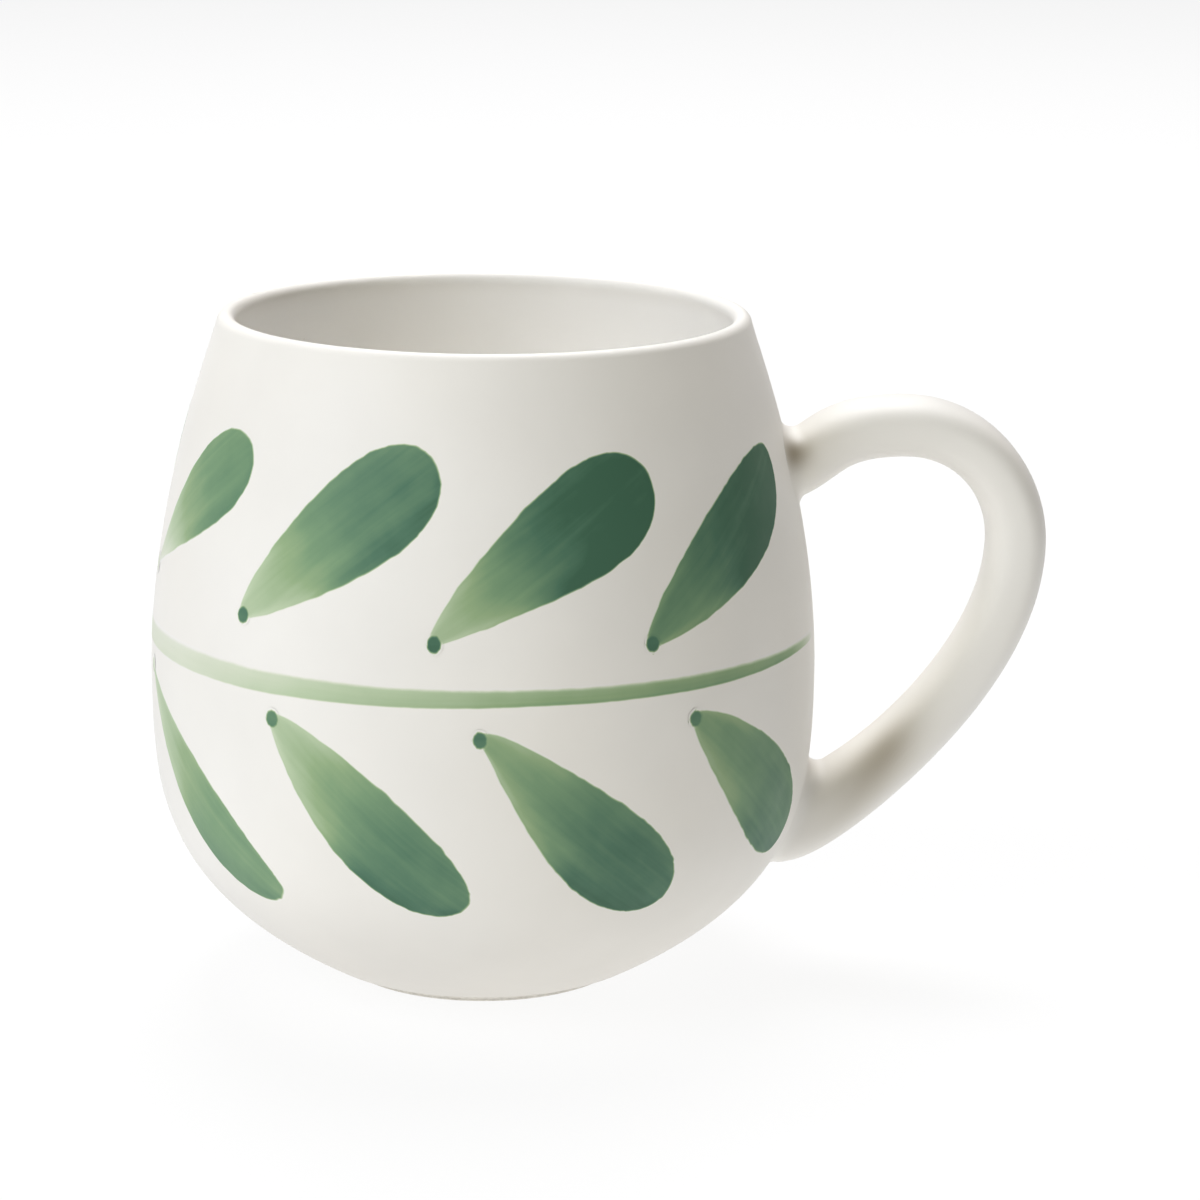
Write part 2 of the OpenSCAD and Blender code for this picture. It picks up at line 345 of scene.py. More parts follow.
def on_wall(angle, z, lift):
    """Point above the glaze at an angle and a height, and the outward direction."""
    radius, out = wall_at(z)
    point = turned(radius + lift * out.x, z + lift * out.y, angle)
    return point, turned(out.x, out.y, angle)


# ---------------------------------------------------------------- making pieces

def add_piece(name, points, faces, material, stands_for, normals=None, facts=None):
    """Makes one closed, smooth mesh that rides with the mug.

    normals gives a shading direction for each point; facts maps the name of an
    attribute to one value for each point, a number or a triple.
    """
    mesh = bpy.data.meshes.new(name)
    mesh.from_pydata([p * MM for p in points], [], faces)
    shell = bmesh.new()
    shell.from_mesh(mesh)
    bmesh.ops.recalc_face_normals(shell, faces=shell.faces)
    shell.to_mesh(mesh)
    shell.free()
    mesh.shade_smooth()
    if normals:
        mesh.normals_split_custom_set_from_vertices(normals)
    for fact, values in (facts or {}).items():
        if isinstance(values[0], tuple):
            stored = mesh.attributes.new(fact, "FLOAT_VECTOR", "POINT")
            stored.data.foreach_set("vector", [number for triple in values for number in triple])
        else:
            stored = mesh.attributes.new(fact, "FLOAT", "POINT")
            stored.data.foreach_set("value", values)
    mesh.materials.append(material)
    piece = bpy.data.objects.new(name, mesh)
    bpy.context.scene.collection.objects.link(piece)
    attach(piece, "root")
    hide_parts(*stands_for)


def turned_count(radius, segments):
    """How many points one point of a profile makes, which is 1 on the axis."""
    return segments if radius > ON_AXIS else 1


def revolved(profile, segments):
    """Points and faces of a closed profile turned about the axis of the cup."""
    points, rows = [], []
    for radius, z in profile:
        count = turned_count(radius, segments)
        rows.append([len(points) + i % count for i in range(segments)])
        points += [turned(radius, z, 360 * i / segments) for i in range(count)]
    faces = []
    for row, after in zip(rows, rows[1:] + rows[:1]):
        for i in range(segments):
            j = (i + 1) % segments
            corners = list(dict.fromkeys([row[i], row[j], after[j], after[i]]))
            if len(corners) > 2:
                faces.append(corners)
    return points, faces


def bridged(rings):
    """Faces that join rings of equal length, each a list of point numbers."""
    faces = []
    for ring, after in zip(rings, rings[1:]):
        for i in range(len(ring)):
            j = (i + 1) % len(ring)
            faces.append([ring[i], ring[j], after[j], after[i]])
    return faces


# ---------------------------------------------------------------- materials

def add_node(tree, kind, settings=None, inputs=None):
    """Adds a node; each input is either a value or the socket that feeds it."""
    node = tree.nodes.new(kind)
    for name, value in (settings or {}).items():
        setattr(node, name, value)
    for key, value in (inputs or {}).items():
        if isinstance(value, bpy.types.NodeSocket):
            tree.links.new(value, node.inputs[key])
        else:
            node.inputs[key].default_value = value
    return node


def calculate(tree, operation, a, b):
    return add_node(tree, "ShaderNodeMath", {"operation": operation}, {0: a, 1: b}).outputs[0]


def add_noise(tree, where, scale, detail):
    """Noise round 0.5, with about scale bumps in a unit of length."""
    node = add_node(tree, "ShaderNodeTexNoise", None,
                    {"Vector": where, "Scale": scale, "Detail": detail})
    return node.outputs[0]


def rescale(tree, value, from_low, from_high, to_low, to_high, shape="LINEAR"):
    node = add_node(tree, "ShaderNodeMapRange", {"interpolation_type": shape},
                    {"Value": value, "From Min": from_low, "From Max": from_high,
                     "To Min": to_low, "To Max": to_high})
    return node.outputs[0]


def noise_between(tree, where, scale, detail, low, high, spread=(0.3, 0.7)):
    """Noise that goes from low to high where the plain noise goes over the spread."""
    return rescale(tree, add_noise(tree, where, scale, detail), *spread, low, high)


def add_bumps(tree, shader, height, distance):
    """Raises the surface by a distance in metres where the height is 1."""
    bump = add_node(tree, "ShaderNodeBump", None,
                    {"Strength": 1.0, "Distance": distance, "Height": height})
    tree.links.new(bump.outputs[0], shader.inputs["Normal"])


def object_place(tree):
    return add_node(tree, "ShaderNodeTexCoord").outputs["Object"]


def shaded(colour, *factors):
    """A colour with its red, green and blue each multiplied by a factor."""
    return tuple(channel * factor for channel, factor in zip(colour, factors)) + (1,)


def colour_ramp(tree, value, stops):
    node = add_node(tree, "ShaderNodeValToRGB", None, {0: value})
    ramp = node.color_ramp
    ramp.elements[0].position, ramp.elements[0].color = stops[0]
    ramp.elements[1].position, ramp.elements[1].color = stops[-1]
    for position, colour in stops[1:-1]:
        ramp.elements.new(position).color = colour
    return node.outputs[0]


def read_fact(tree, name, output="Fac"):
    return add_node(tree, "ShaderNodeAttribute", {"attribute_name": name}).outputs[output]


def mix_colours(tree, factor, a, b, blend="MIX"):
    """The Mix node's sockets 0, 6, 7 and 2 are the factor, the two colours and the result."""
    node = add_node(tree, "ShaderNodeMix", {"data_type": "RGBA", "blend_type": blend},
                    {0: factor, 6: a, 7: b})
    return node.outputs[2]


def new_material(name):
    material = bpy.data.materials.new(name)
    material.use_nodes = True
    return material, material.node_tree, material.node_tree.nodes["Principled BSDF"]


def satin_glaze(tree, shader, colour):
    """Finishes a shader as satin glaze: cloudy colour, fine specks, grain and slow ripples."""
    shader.inputs["Specular IOR Level"].default_value = GLAZE_SPECULAR
    where = object_place(tree)
    clouds = noise_between(tree, where, CLOUDS, 3, 0.975, 1.015)
    specks = noise_between(tree, where, SPECKS, 1, 1.0, 0.92, spread=(0.83, 0.88))
    shade = calculate(tree, "MULTIPLY", clouds, specks)
    tint = add_node(tree, "ShaderNodeCombineColor", None, {0: shade, 1: shade, 2: shade})
    tree.links.new(mix_colours(tree, 1.0, colour, tint.outputs[0], "MULTIPLY"),
                   shader.inputs["Base Color"])
    tree.links.new(noise_between(tree, where, SHEEN, 3, 0.46, 0.56), shader.inputs["Roughness"])

    grain = calculate(tree, "MULTIPLY", add_noise(tree, where, GRAIN, 2), 0.10)
    ripples = add_noise(tree, where, RIPPLES, 1)
    add_bumps(tree, shader, calculate(tree, "ADD", grain, ripples), GLAZE_BUMP)


def make_glaze():
    """White glaze, creamier in places; painted light makes it lighter inside, painted shade darker in
    creases and near the foot.
    """
    material, tree, shader = new_material("satin_glaze")
    warmth = noise_between(tree, object_place(tree), WARMTH, 2, 0.0, 1.0, spread=(0.35, 0.65))
    cream = shaded(GLAZE_COLOUR, 0.995, 0.985, 0.965)
    outside = mix_colours(tree, warmth, GLAZE_COLOUR, cream)
    # The inside is made lighter as painted light, and the attribute named thin darkens the glaze as
    # painted shade
    lit_inside = mix_colours(tree, read_fact(tree, "liner"), outside, PAINTED_LIGHT_INSIDE_COLOUR)
    satin_glaze(tree, shader, mix_colours(tree, read_fact(tree, "thin"), lit_inside, PAINTED_SHADE_COLOUR))
    return material


def brush_streaks(tree):
    """Noise drawn out along the stroke: fine bristle marks on broader ones."""
    stroke = read_fact(tree, "stroke", "Vector")
    marks = []
    for stretch, strength in (((0.08, 1.3, 1.0), 0.4), ((0.04, 0.35, 1.0), 0.6)):
        drawn_out = add_node(tree, "ShaderNodeVectorMath", {"operation": "MULTIPLY"},
                             {0: stroke, 1: stretch}).outputs[0]
        marks.append(calculate(tree, "MULTIPLY", add_noise(tree, drawn_out, 1, 2), strength))
    return calculate(tree, "ADD", *marks)


def make_paint(name, streak):
    """Brushed underglaze colour; streak is how strongly the bristles show.

    Its density is the paint's own, made uneven by the brush. Over the edge of the
    stroke it fades to what is under it: bare glaze, or under a dot the leaf's paint.
    """
    material, tree, shader = new_material(name)
    where = object_place(tree)
    streaks = rescale(tree, brush_streaks(tree), 0.2, 0.8, -streak, streak)
    uneven = calculate(tree, "ADD", streaks, noise_between(tree, where, PAINT_POOLS, 3, -0.05, 0.05))
    density = calculate(tree, "MULTIPLY", read_fact(tree, "paint"),
                        calculate(tree, "ADD", uneven, 1.0))

    ragged = noise_between(tree, where, PAINT_RAGGED, 2, -0.04, 0.04, spread=(0.25, 0.75))
    inside = calculate(tree, "ADD", read_fact(tree, "inside"), ragged)
    cover = rescale(tree, inside, *FADE, 0.0, 1.0, "SMOOTHSTEP")
    under = read_fact(tree, "under")
    above = calculate(tree, "SUBTRACT", density, under)
    seen = calculate(tree, "ADD", under, calculate(tree, "MULTIPLY", above, cover))
    satin_glaze(tree, shader, colour_ramp(tree, seen, PAINT_COLOURS))
    return material


def make_clay():
    """Fired stoneware, bare on the foot ring: matt, sandy and a little stained."""
    material, tree, shader = new_material("bare_stoneware")
    where = object_place(tree)
    sand = noise_between(tree, where, CLAY_SAND, 4, 0.0, 1.0)
    dark = shaded(CLAY_COLOUR, 0.90, 0.90, 0.90)
    light = shaded(CLAY_COLOUR, 1.08, 1.08, 1.08)
    body = mix_colours(tree, sand, dark, light)
    stain = noise_between(tree, where, CLAY_STAINS, 3, 0.0, 0.5, spread=(0.52, 0.75))
    tree.links.new(mix_colours(tree, stain, body, STAIN_COLOUR), shader.inputs["Base Color"])
    tree.links.new(rescale(tree, sand, 0, 1, 0.82, 0.94), shader.inputs["Roughness"])
    add_bumps(tree, shader, sand, CLAY_BUMP)
    return material


# ---------------------------------------------------------------- cup

def make_cup_clay(material):
    """The clay under the glaze, which shows only at the foot ring."""
    outside = moved_left(outer_profile(CLAY_STEPS), GLAZE_T)
    inside = moved_left(inner_profile(CLAY_STEPS), GLAZE_T)[1:-1]
    loop = outside + inside + [Vector((0, FLOOR_Z - GLAZE_T))] + foot_profile()[::-1]
    points, faces = revolved(loop, FOOT_SIDES)
    add_piece("clay_cup", points, faces, material, ["cup_body"])


def make_cup_glaze(material):
    """One coat from the skirt over the lip to the middle of the floor inside."""
    outside = outer_profile(GLAZE_STEPS)
    inside = inner_profile(GLAZE_STEPS)
    back_outside = moved_left(outside, GLAZE_T)
    back_inside = moved_left(inside, GLAZE_T)[1:-1]
    back = [Vector((0, FLOOR_Z - GLAZE_T))] + back_inside[::-1] + back_outside[::-1]
    drawn_edge = SKIRT + Vector((-GLAZE_T * 0.55, -GLAZE_T * 0.25))
    profile = outside + inside[1:] + back + [drawn_edge]
    points, faces = revolved(profile, CUP_SIDES)
    liner, thin = [], []
    for n, (radius, z) in enumerate(profile):
        count = turned_count(radius, CUP_SIDES)
        if len(outside) <= n < len(outside) + len(inside) - 1:
            # Painted light inside the cup, full from a little under the lip
            liner += [smooth(0, PAINTED_LIGHT_DEPTH, MUG_HEIGHT - z)] * count
            thin += [0.0] * count
        else:
            liner += [0.0] * count
            # Painted shade, darker towards the foot, carried by the attribute named thin
            thin += [FOOT_PAINTED_SHADE * (1 - smooth(FOOT_HEIGHT, PAINTED_SHADE_TOP_Z, z))] * count
    add_piece("cup_glaze", points, faces, material, ["outer_glaze", "liner_glaze"],
              facts={"liner": liner, "thin": thin})


def make_base_glaze(material):
    """Glaze in the hollow under the cup, drawn up a little at its rim."""
    rim = FOOT_R - FOOT_RING_W - 0.6
    level = Vector((rim - 3, POOL_Z))
    shown = [Vector((0, POOL_Z)), level]
    shown += curve(level, Vector((rim - 1.4, POOL_Z)), Vector((rim - 0.5, 1.15)),
                   Vector((rim, 0.85)), steps=8)
    hidden = [Vector((rim - 0.4, FOOT_HOLLOW)), Vector((0, FOOT_HOLLOW))]
    points, faces = revolved(shown + hidden, FOOT_SIDES)
    add_piece("base_glaze_pool", points, faces, material, ["base_glaze"])


# ---------------------------------------------------------------- handle

def handle_centre(u):
    """Centre line: u runs from 0 to 3 along the loop, and beyond it into the stubs."""
    if u < 0:
        return UPPER_ROOT + u * ROOT_STUB * UPPER_LEAD.normalized()
    if u < 1:
        return bezier(UPPER_ROOT, UPPER_ROOT + UPPER_LEAD, HANDLE_TOP - Vector((TOP_PULL[0], 0)),
                      HANDLE_TOP, u)
    if u < 2:
        return bezier(HANDLE_TOP, HANDLE_TOP + Vector((TOP_PULL[1], 0)),
                      HANDLE_END + Vector((0, END_PULL[0])), HANDLE_END, u - 1)
    if u < 3:
        return bezier(HANDLE_END, HANDLE_END - Vector((0, END_PULL[1])),
                      LOWER_ROOT + LOWER_LEAD, LOWER_ROOT, u - 2)
    return LOWER_ROOT - (u - 3) * ROOT_STUB * LOWER_LEAD.normalized()


def handle_swell(u):
    """How much the handle thickens towards its roots, most a little inside the cup."""
    sunk = 0.08
    along = (u + sunk) / (3 + 2 * sunk)
    upper = ROOT_SWELL[0] * hump(along, 0, SWELL_REACH[0])
    lower = ROOT_SWELL[1] * hump(along, 1, SWELL_REACH[1])
    return upper + lower


def handle_point(u, turn):
    """Point on the handle's skin; turn 0 is the outside of the loop."""
    step = 0.004
    run = (handle_centre(u + step) - handle_centre(u - step)).normalized()
    centre = handle_centre(u)
    extra = handle_swell(u)
    cosine, sine = math.cos(turn), math.sin(turn)
    out = math.copysign(abs(cosine) ** (2 / HANDLE_SQUARE), cosine) * (HANDLE_T / 2 + extra)
    aside = math.copysign(abs(sine) ** (2 / HANDLE_SQUARE), sine) * (HANDLE_W / 2 + extra)
    return Vector((centre.x - out * run.y, aside, centre.y + out * run.x))


def handle_normal(u, turn):
    """Outward direction of the handle's skin."""
    step = 0.01
    along = handle_point(u + step, turn) - handle_point(u - step, turn)
    around = handle_point(u, turn + step) - handle_point(u, turn - step)
    return along.cross(around).normalized()


def nearest_wall(point):
    """Distance from a point to the outside of the cup, and the wall's direction there."""
    place = Vector((math.hypot(point.x, point.y), point.z))
    i = min(range(1, len(OUTER_WALL) - 1), key=lambda n: (OUTER_WALL[n] - place).length_squared)
    run = OUTER_WALL[i + 1] - OUTER_WALL[i - 1]
    out = Vector((run.y, -run.x)).normalized()
    distance = (place - OUTER_WALL[i]).dot(out)
    scale = out.x / place.x
    return distance, Vector((point.x * scale, point.y * scale, out.y))


def ball_seat(turn, radius, inside, outside):
    """Where a ball rolled along the corner touches both the handle and the cup.

    The handle's u is searched by halves between a value inside the cup and one outside.
    """
    halvings = 24
    for _ in range(halvings):
        middle = (inside + outside) / 2
        ball = handle_point(middle, turn) + radius * handle_normal(middle, turn)
        if nearest_wall(ball)[0] < radius:
            inside = middle
        else:
            outside = middle
    return outside


def fillet_radius(radii, turn):
    """Radius of the corner at a turn, from those outside, beside and inside the loop."""
    outside, beside, inside = radii
    cosine = math.cos(turn)
    end = outside if cosine > 0 else inside
    return beside + (end - beside) * cosine * cosine


def corner_points(u, turn, radius):
    """Points from the handle's skin round the corner onto the cup, then down into its wall."""
    normal = handle_normal(u, turn)
    ball = handle_point(u, turn) + radius * normal
    wall = nearest_wall(ball)[1]
    steps = 10
    arc_points = [ball + radius * (-normal).slerp(-wall, i / steps) for i in range(steps + 1)]
    onward = (normal - wall * normal.dot(wall)).normalized()
    touch = arc_points[-1]
    return arc_points[1:] + [touch + 0.4 * onward - 0.03 * wall,
                             touch + 0.5 * onward - 0.2 * wall,
                             touch - 0.5 * onward - 1.6 * wall]


def painted_handle_shade(point):
    """Painted shade on the handle: in the crease at the upper root and on the inner side of the lower
    bend.
    """
    place = Vector((point.x, abs(point.y), point.z))
    crease = hump((place - UPPER_CREASE).length, 0, CREASE_REACH)
    off = place - LOWER_BEND
    along = off.dot(BEND_RUN)
    aside = (off - along * BEND_RUN).length
    bend_reach = BEND_REACH_UP if along > 0 else BEND_REACH_DOWN
    bend = hump(along, 0, bend_reach) * hump(aside, 0, BEND_REACH_ASIDE)
    return CREASE_PAINTED_SHADE * crease + BEND_PAINTED_SHADE * bend


def make_handle(material):
    """The glazed handle, with glaze-filled corners where it meets the cup."""
    sides, rings = 72, 120
    turns = [2 * math.pi * (k + 0.5) / sides for k in range(sides)]
    columns = []
    for turn in turns:
        upper_r = fillet_radius(UPPER_FILLET, turn)
        lower_r = fillet_radius(LOWER_FILLET, turn)
        first = ball_seat(turn, upper_r, inside=-0.9, outside=1.0)
        last = ball_seat(turn, lower_r, inside=3.9, outside=2.2)
        skin = [handle_point(first + (last - first) * i / rings, turn) for i in range(rings + 1)]
        upper = corner_points(first, turn, upper_r)
        lower = corner_points(last, turn, lower_r)
        columns.append(upper[::-1] + skin + lower)
    count = len(columns[0])
    points = [column[i] for i in range(count) for column in columns]
    ring_numbers = [list(range(i * sides, (i + 1) * sides)) for i in range(count)]
    faces = bridged(ring_numbers) + [ring_numbers[0][::-1], ring_numbers[-1]]
    # The attribute named thin holds the painted shade in the handle's creases
    add_piece("glazed_handle", points, faces, material,
              ["handle", "handle_glaze", "upper_handle_joint", "lower_handle_joint"],
              facts={"thin": [painted_handle_shade(point) for point in points]})


# ---------------------------------------------------------------- paint

def side_half_width(side, x):
    """Half width of one side of a leaf at x, from 0 at its start to 1 at its end."""
    width, start, end = side
    widest = (2 * start / (2 * start + end)) ** (1 / end)
    peak = widest ** start * math.sqrt(1 - widest ** end)
    return width * x ** start * math.sqrt(max(0, 1 - x ** end)) / peak


def wavering(dice, strength, counts):
    """A function of a position round an outline that wavers like a hand's edge.

    counts holds how many of each kind of wave go round the outline.
    """
    waves = [(n, dice.uniform(0, 2 * math.pi), dice.uniform(0.4, 1.0)) for n in counts]

    def waver(t):
        return strength * sum(size / math.sqrt(n) * math.sin(2 * math.pi * n * t + phase)
                              for n, phase, size in waves)
    return waver


def leaf_outline(leaf, dice):
    """Outline of the painted leaf in its own plane: x along the leaf and y across it."""
    steps = 60
    waver = wavering(dice, strength=0.22, counts=(5, 9, 14, 21, 29, 37))
    stations = [math.sin(math.pi / 2 * i / steps) for i in range(steps + 1)]
    upper = [(x, side_half_width(leaf.upper, x)) for x in stations]
    lower = [(x, -side_half_width(leaf.lower, x)) for x in stations[-2:0:-1]]
    outline = []
    for i, (x, y) in enumerate(upper + lower):
        edge = waver(i / (2 * steps)) * smooth(0.02, 0.2, x)
        outline.append(Vector((x * leaf.length + edge * 0.4,
                               y + math.copysign(edge, y) + leaf.bend * math.sin(math.pi * x))))
    return outline


def leaf_density(leaf, x, y):
    """Density of the paint at x along the leaf and y across it, -1 at its lower edge.

    The brush leaves a light mark near the start and thin edges, but towards the end of
    the leaf the colour has pooled along its lower edge.
    """
    start, end, _ = leaf.paint
    density = start + (end - start) * smooth(0.0, 0.8, x)
    pool_start = 0.42 if leaf.tilt > 0 else 0.54
    pooled = smooth(-0.12, 0.12, x - pool_start)
    light_mark = 0.10 * hump(y, -0.42, 0.18) * smooth(0.1, 0.3, x) * (1 - smooth(0.45, 0.7, x))
    lower_edge = (0.33 - 0.50 * pooled) * hump(y, -0.9, 0.32)
    upper_edge = (0.25 - 0.15 * smooth(0.2, 0.45, x)) * hump(y, 0.95, 0.25)
    return density * (1 - light_mark - lower_edge - upper_edge)


def ring_distance(point, outline):
    """Distance from a point to the nearest point of an outline."""
    return min((point - corner).length for corner in outline)


def widened(outline, distance):
    """The outline moved outwards."""
    count = len(outline)
    moved = []
    for i, point in enumerate(outline):
        run = outline[(i + 1) % count] - outline[i - 1]
        moved.append(point + distance * Vector((-run.y, run.x)).normalized())
    return moved


def closed_patch(first, ring_count, sides):
    """Faces of a thin closed patch of rings round one middle point.

    The points are numbered from first: the top's rings from the rim inwards, its
    middle point, and then the bottom in the same order.
    """
    rings = [list(range(first + i * sides, first + (i + 1) * sides)) for i in range(ring_count)]
    middle = first + ring_count * sides
    below = ring_count * sides + 1
    top = bridged(rings)
    top += [[rings[-1][i], rings[-1][(i + 1) % sides], middle] for i in range(sides)]
    bottom = [[corner + below for corner in face[::-1]] for face in top]
    wall = bridged([[corner + below for corner in rings[0]], rings[0]])
    return top + bottom + wall


def paint_lift(inside):
    """Height of the paint above the glaze at a distance inside its edge."""
    return -PAINT_SINK + (PAINT_LIFT + PAINT_SINK) * smooth(-PAINT_BORDER, 0.1, inside)


class Film:
    """Points of a thin film of paint on the cup, and what its material reads there."""

    def __init__(self):
        self.points = []
        self.normals = []
        self.facts = {"stroke": [], "paint": [], "inside": [], "under": []}

    def add(self, angle, z, lift, stroke, paint, inside, under=0.0):
        """Adds a point lifted off the glaze.

        stroke is its place in the brush stroke, paint the paint's density, inside its
        distance inside the painted edge and under the density of the paint below it.
        """
        point, normal = on_wall(angle, z, lift)
        self.points.append(point)
        self.normals.append(normal)
        for name, value in zip(self.facts, (stroke, paint, inside, under)):
            self.facts[name].append(value)

    def finish(self, name, faces, material, stands_for):
        add_piece(name, self.points, faces, material, stands_for, self.normals, self.facts)


def leaf_spot(leaf, x, y):
    """Angle and height on the cup of a point of the leaf's own plane."""
    tilt = math.radians(leaf.tilt)
    along = x - LEAF_LEAD
    z = leaf.height + along * math.sin(tilt) + y * math.cos(tilt)
    around = along * math.cos(tilt) - y * math.sin(tilt)
    return leaf.angle + math.degrees(around / wall_at(z)[0]), z


def across(leaf, x, y):
    """How far a point lies across its leaf, from -1 at the lower edge to 1."""
    share = min(max(x / leaf.length, 0.02), 0.98)
    y -= leaf.bend * math.sin(math.pi * share)
    side = leaf.upper if y > 0 else leaf.lower
    return y / max(side_half_width(side, share), 0.5)


def leaf_rings(leaf, outline):
    """Rings of (x, y, distance inside the edge) from the sunk rim to the middle point."""
    rings = []
    for border in (PAINT_BORDER, PAINT_BORDER / 2):
        rings.append([(p.x, p.y, -border) for p in widened(outline, border)])
    rings.append([(p.x, p.y, 0.0) for p in outline])
    middle = Vector((0.6 * leaf.length, leaf.bend))
    for share in LEAF_RINGS:
        ring = [middle + share * (p - middle) for p in outline]
        rings.append([(p.x, p.y, ring_distance(p, outline)) for p in ring])
    return rings + [[(middle.x, middle.y, ring_distance(middle, outline))]]


def make_leaf(row, number, leaf, material):
    """One leaf as a closed film; seed gives each its own bristle marks."""
    name = f"{row}_leaf_{number}"
    piece_name = f"painted_{name}"
    seed = sum(map(ord, piece_name)) * 0.37
    outline = leaf_outline(leaf, random.Random(name))
    rings = leaf_rings(leaf, outline)
    film = Film()
    for is_top in (True, False):
        for x, y, inside in [point for ring in rings for point in ring]:
            angle, z = leaf_spot(leaf, x, y)
            density = leaf_density(leaf, x / leaf.length, across(leaf, x, y))
            lift = paint_lift(inside) if is_top else -PAINT_DEPTH
            film.add(angle, z, lift, (x, y, seed), density, inside)
    faces = closed_patch(0, len(rings) - 1, len(outline))
    film.finish(piece_name, faces, material, [name])


def leaf_paint_at(leaf, spot):
    """Density of a leaf's paint at a spot measured from the middle of its dot."""
    tilt = math.radians(leaf.tilt)
    x = spot.x * math.cos(tilt) + spot.y * math.sin(tilt) + LEAF_LEAD
    y = spot.y * math.cos(tilt) - spot.x * math.sin(tilt)
    share = x / leaf.length
    reach = leaf.bend * math.sin(math.pi * max(share, 0))
    side = leaf.upper if y > reach else leaf.lower
    inside = side_half_width(side, max(share, 0)) - abs(y - reach)
    if x < 0:
        inside = x
    return leaf_density(leaf, share, across(leaf, x, y)) * smooth(*FADE, inside)


def dot_spots(dice):
    """Points of a dot's mesh as (spot round its middle, distance inside its edge)."""
    waver = wavering(dice, strength=0.06, counts=(5, 8, 11))
    tall = dice.uniform(1.0, 1.12)
    slim = dice.uniform(0.84, 0.96)
    spots = []
    for border in DOT_RINGS:
        for k in range(DOT_SIDES):
            turn = 2 * math.pi * k / DOT_SIDES
            reach = DOT_R + waver(k / DOT_SIDES) + border
            spots.append((Vector((slim * math.cos(turn), tall * math.sin(turn))) * reach, -border))
    return spots + [(Vector((0, 0)), DOT_R)]


def make_dots(row, leaves, material):
    """The dab of colour that the brush leaves at the start of each leaf."""
    film = Film()
    faces = []
    for leaf in leaves:
        spots = dot_spots(random.Random(f"{row}{leaf.angle}"))
        faces += closed_patch(len(film.points), len(DOT_RINGS), DOT_SIDES)
        for is_top in (True, False):
            for spot, inside in spots:
                angle = leaf.angle + math.degrees(spot.x / wall_at(leaf.height)[0])
                lift = DOT_LIFT + DOT_CROWN * smooth(-0.3, 0.3, inside) if is_top else -PAINT_DEPTH
                film.add(angle, leaf.height + spot.y, lift, (spot.x, spot.y, leaf.angle),
                         leaf.paint[2], inside, leaf_paint_at(leaf, spot))
    film.finish(f"painted_{row}_dots", faces, material, [f"{row}_leaf_dots"])


def stem_width(angle):
    """Full width of the stem, which thins out along the stroke."""
    width = 3.0 - 1.0 * smooth(-60, 30, angle) - 0.9 * smooth(35, 75, angle)
    start = smooth(STEM_START - 1, STEM_START + 6, angle)
    return width * (0.35 + 0.65 * start)


def stem_density(angle):
    """The colour is pale at the front left, full at the front right, then runs out."""
    full = 0.085 + 0.36 * smooth(-75, 40, angle)
    behind = 0.10 * (1 - smooth(-220, -100, angle))
    runs_out = 1 - smooth(60, STEM_END, angle)
    return (full + behind) * runs_out


def make_stem(material):
    """The stem as one closed band, with a soft upper edge and a crisp lower one."""
    waver = wavering(random.Random("stem"), strength=0.11, counts=(5, 8, 11, 17))
    film = Film()
    for i in range(STEM_STEPS + 1):
        angle = STEM_START + (STEM_END - STEM_START) * i / STEM_STEPS
        half = stem_width(angle) / 2
        drift = STEM_DRIFT * math.sin(math.radians(angle * 2 + 40))
        middle = STEM_Z + drift + waver(i / STEM_STEPS)
        from_end = min(angle - STEM_START, STEM_END - angle) * STEM_DEGREE
        for is_top in (True, False):
            for line in STEM_LINES:
                y = line * (half + PAINT_BORDER)
                crispness = 0.6 if y > 0 else 1.2
                inside = min((half - abs(y)) * crispness, from_end - 0.3)
                lift = paint_lift(inside) if is_top else -PAINT_DEPTH
                shade = 1 - 0.15 * smooth(0, half, y) + 0.2 * hump(y, -half, 0.4)
                film.add(angle, middle + y, lift, (angle * STEM_DEGREE, y, STEM_SEED),
                         stem_density(angle) * shade, inside)
    lines = len(STEM_LINES)
    loop = list(range(lines)) + list(range(2 * lines - 1, lines - 1, -1))
    rings = [[i * 2 * lines + n for n in loop] for i in range(STEM_STEPS + 1)]
    faces = bridged(rings) + [rings[0][::-1], rings[-1]]
    film.finish("painted_stem", faces, material, ["stem_stroke"])


# ---------------------------------------------------------------- stage

def make_floor():
    """A plain white floor, lit enough to stay white behind the mug."""
    mesh = bpy.data.meshes.new("floor")
    corners = [(x * FLOOR_REACH, y * FLOOR_REACH, 0) for x, y in ((-1, -1), (1, -1), (1, 1), (-1, 1))]
    mesh.from_pydata(corners, [], [(0, 1, 2, 3)])
    material, _, shader = new_material("floor_paper")
    shader.inputs["Base Color"].default_value = FLOOR_COLOUR
    shader.inputs["Roughness"].default_value = 0.9
    shader.inputs["Emission Color"].default_value = (1, 1, 1, 1)
    shader.inputs["Emission Strength"].default_value = FLOOR_GLOW
    mesh.materials.append(material)
    floor = bpy.data.objects.new("floor", mesh)
    bpy.context.scene.collection.objects.link(floor)


def add_softbox(name, angle, rise, power, colour):
    """A square light that faces the mug from an angle round it and a rise above the table.

    Its power is in watts.
    """
    light = bpy.data.lights.new(name, "AREA")
    light.size = SOFTBOX_SIZE
    light.energy = power
    light.color = colour
    lamp = bpy.data.objects.new(name, light)
    rise = math.radians(rise)
    away = turned(math.cos(rise), math.sin(rise), angle)
    lamp.location = MUG_MIDDLE + SOFTBOX_DISTANCE * away
    lamp.rotation_euler = away.to_track_quat("Z", "Y").to_euler()
    bpy.context.scene.collection.objects.link(lamp)


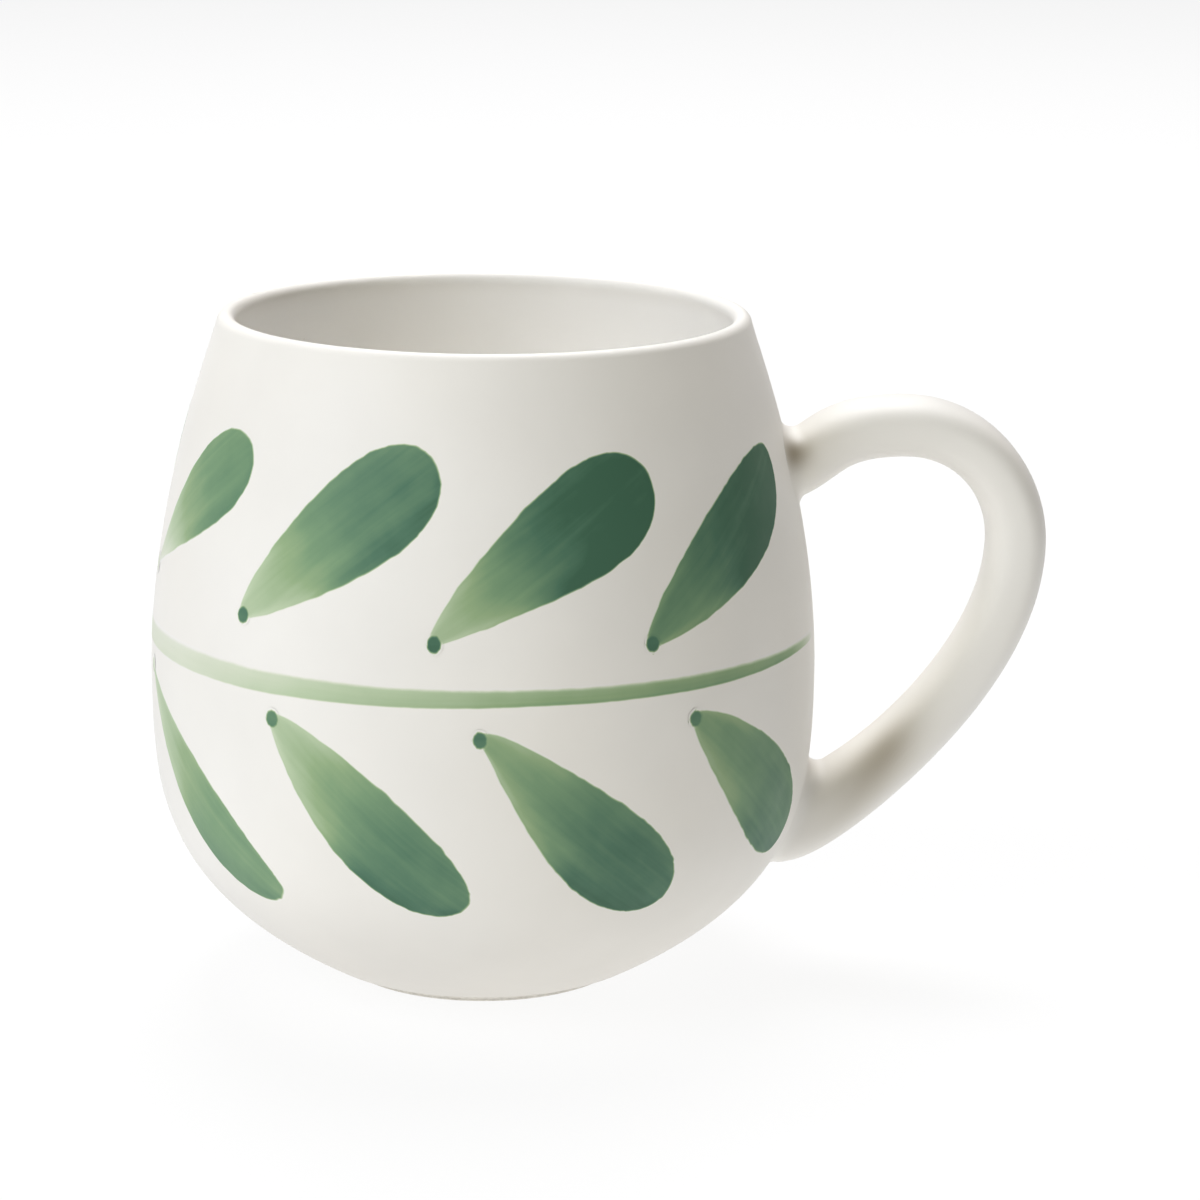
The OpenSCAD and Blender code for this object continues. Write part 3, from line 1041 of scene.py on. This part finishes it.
def make_lights():
    """A cool key on the left, a little light from the front, and more from behind."""
    world = bpy.data.worlds.new("studio")
    bpy.context.scene.world = world
    world.use_nodes = True
    world.node_tree.nodes["Background"].inputs["Strength"].default_value = 0
    add_softbox("key", -60, 35, 11.5, (0.96, 1.0, 1.10))
    add_softbox("key_high", -60, 60, 2.0, (0.99, 1.0, 1.04))
    add_softbox("front", -25, 40, 5.8, (1.03, 1.0, 0.83))
    add_softbox("fill", 30, 40, 0.8, (1.12, 1.0, 0.7))
    add_softbox("back", 180, 35, 3, (1.0, 1.0, 1.0))
    add_softbox("back_high", 180, 65, 20.5, (1.0, 1.0, 1.03))
    add_softbox("back_right", 130, 30, 3.2, (1.08, 1.0, 0.95))


def make_camera():
    """A long lens a little above the mug, turned and rolled by a hair."""
    lens = bpy.data.cameras.new("camera")
    lens.sensor_width = SENSOR_W
    lens.lens = LENS
    camera = bpy.data.objects.new("camera", lens)
    turn = Matrix.Rotation(math.radians(CAMERA_TURN), 4, "Z")
    dip = Matrix.Rotation(math.radians(90 - CAMERA_DIP), 4, "X")
    roll = Matrix.Rotation(math.radians(CAMERA_ROLL), 4, "Z")
    camera.matrix_world = Matrix.Translation(CAMERA_PLACE) @ turn @ dip @ roll
    bpy.context.scene.collection.objects.link(camera)
    bpy.context.scene.camera = camera
    bpy.context.scene.view_settings.view_transform = "Standard"


# ---------------------------------------------------------------- the mug

make_camera()
make_floor()
make_lights()

glaze = make_glaze()
leaf_paint = make_paint("leaf_paint", streak=0.15)
dot_paint = make_paint("dot_paint", streak=0.10)
stem_paint = make_paint("stem_paint", streak=0.15)

make_cup_clay(make_clay())
make_cup_glaze(glaze)
make_base_glaze(glaze)
make_handle(glaze)
for row_name, row_leaves in (("upper", UPPER_LEAVES), ("lower", LOWER_LEAVES)):
    for leaf_number, one_leaf in enumerate(row_leaves, 1):
        make_leaf(row_name, leaf_number, one_leaf, leaf_paint)
    make_dots(row_name, row_leaves, dot_paint)
make_stem(stem_paint)
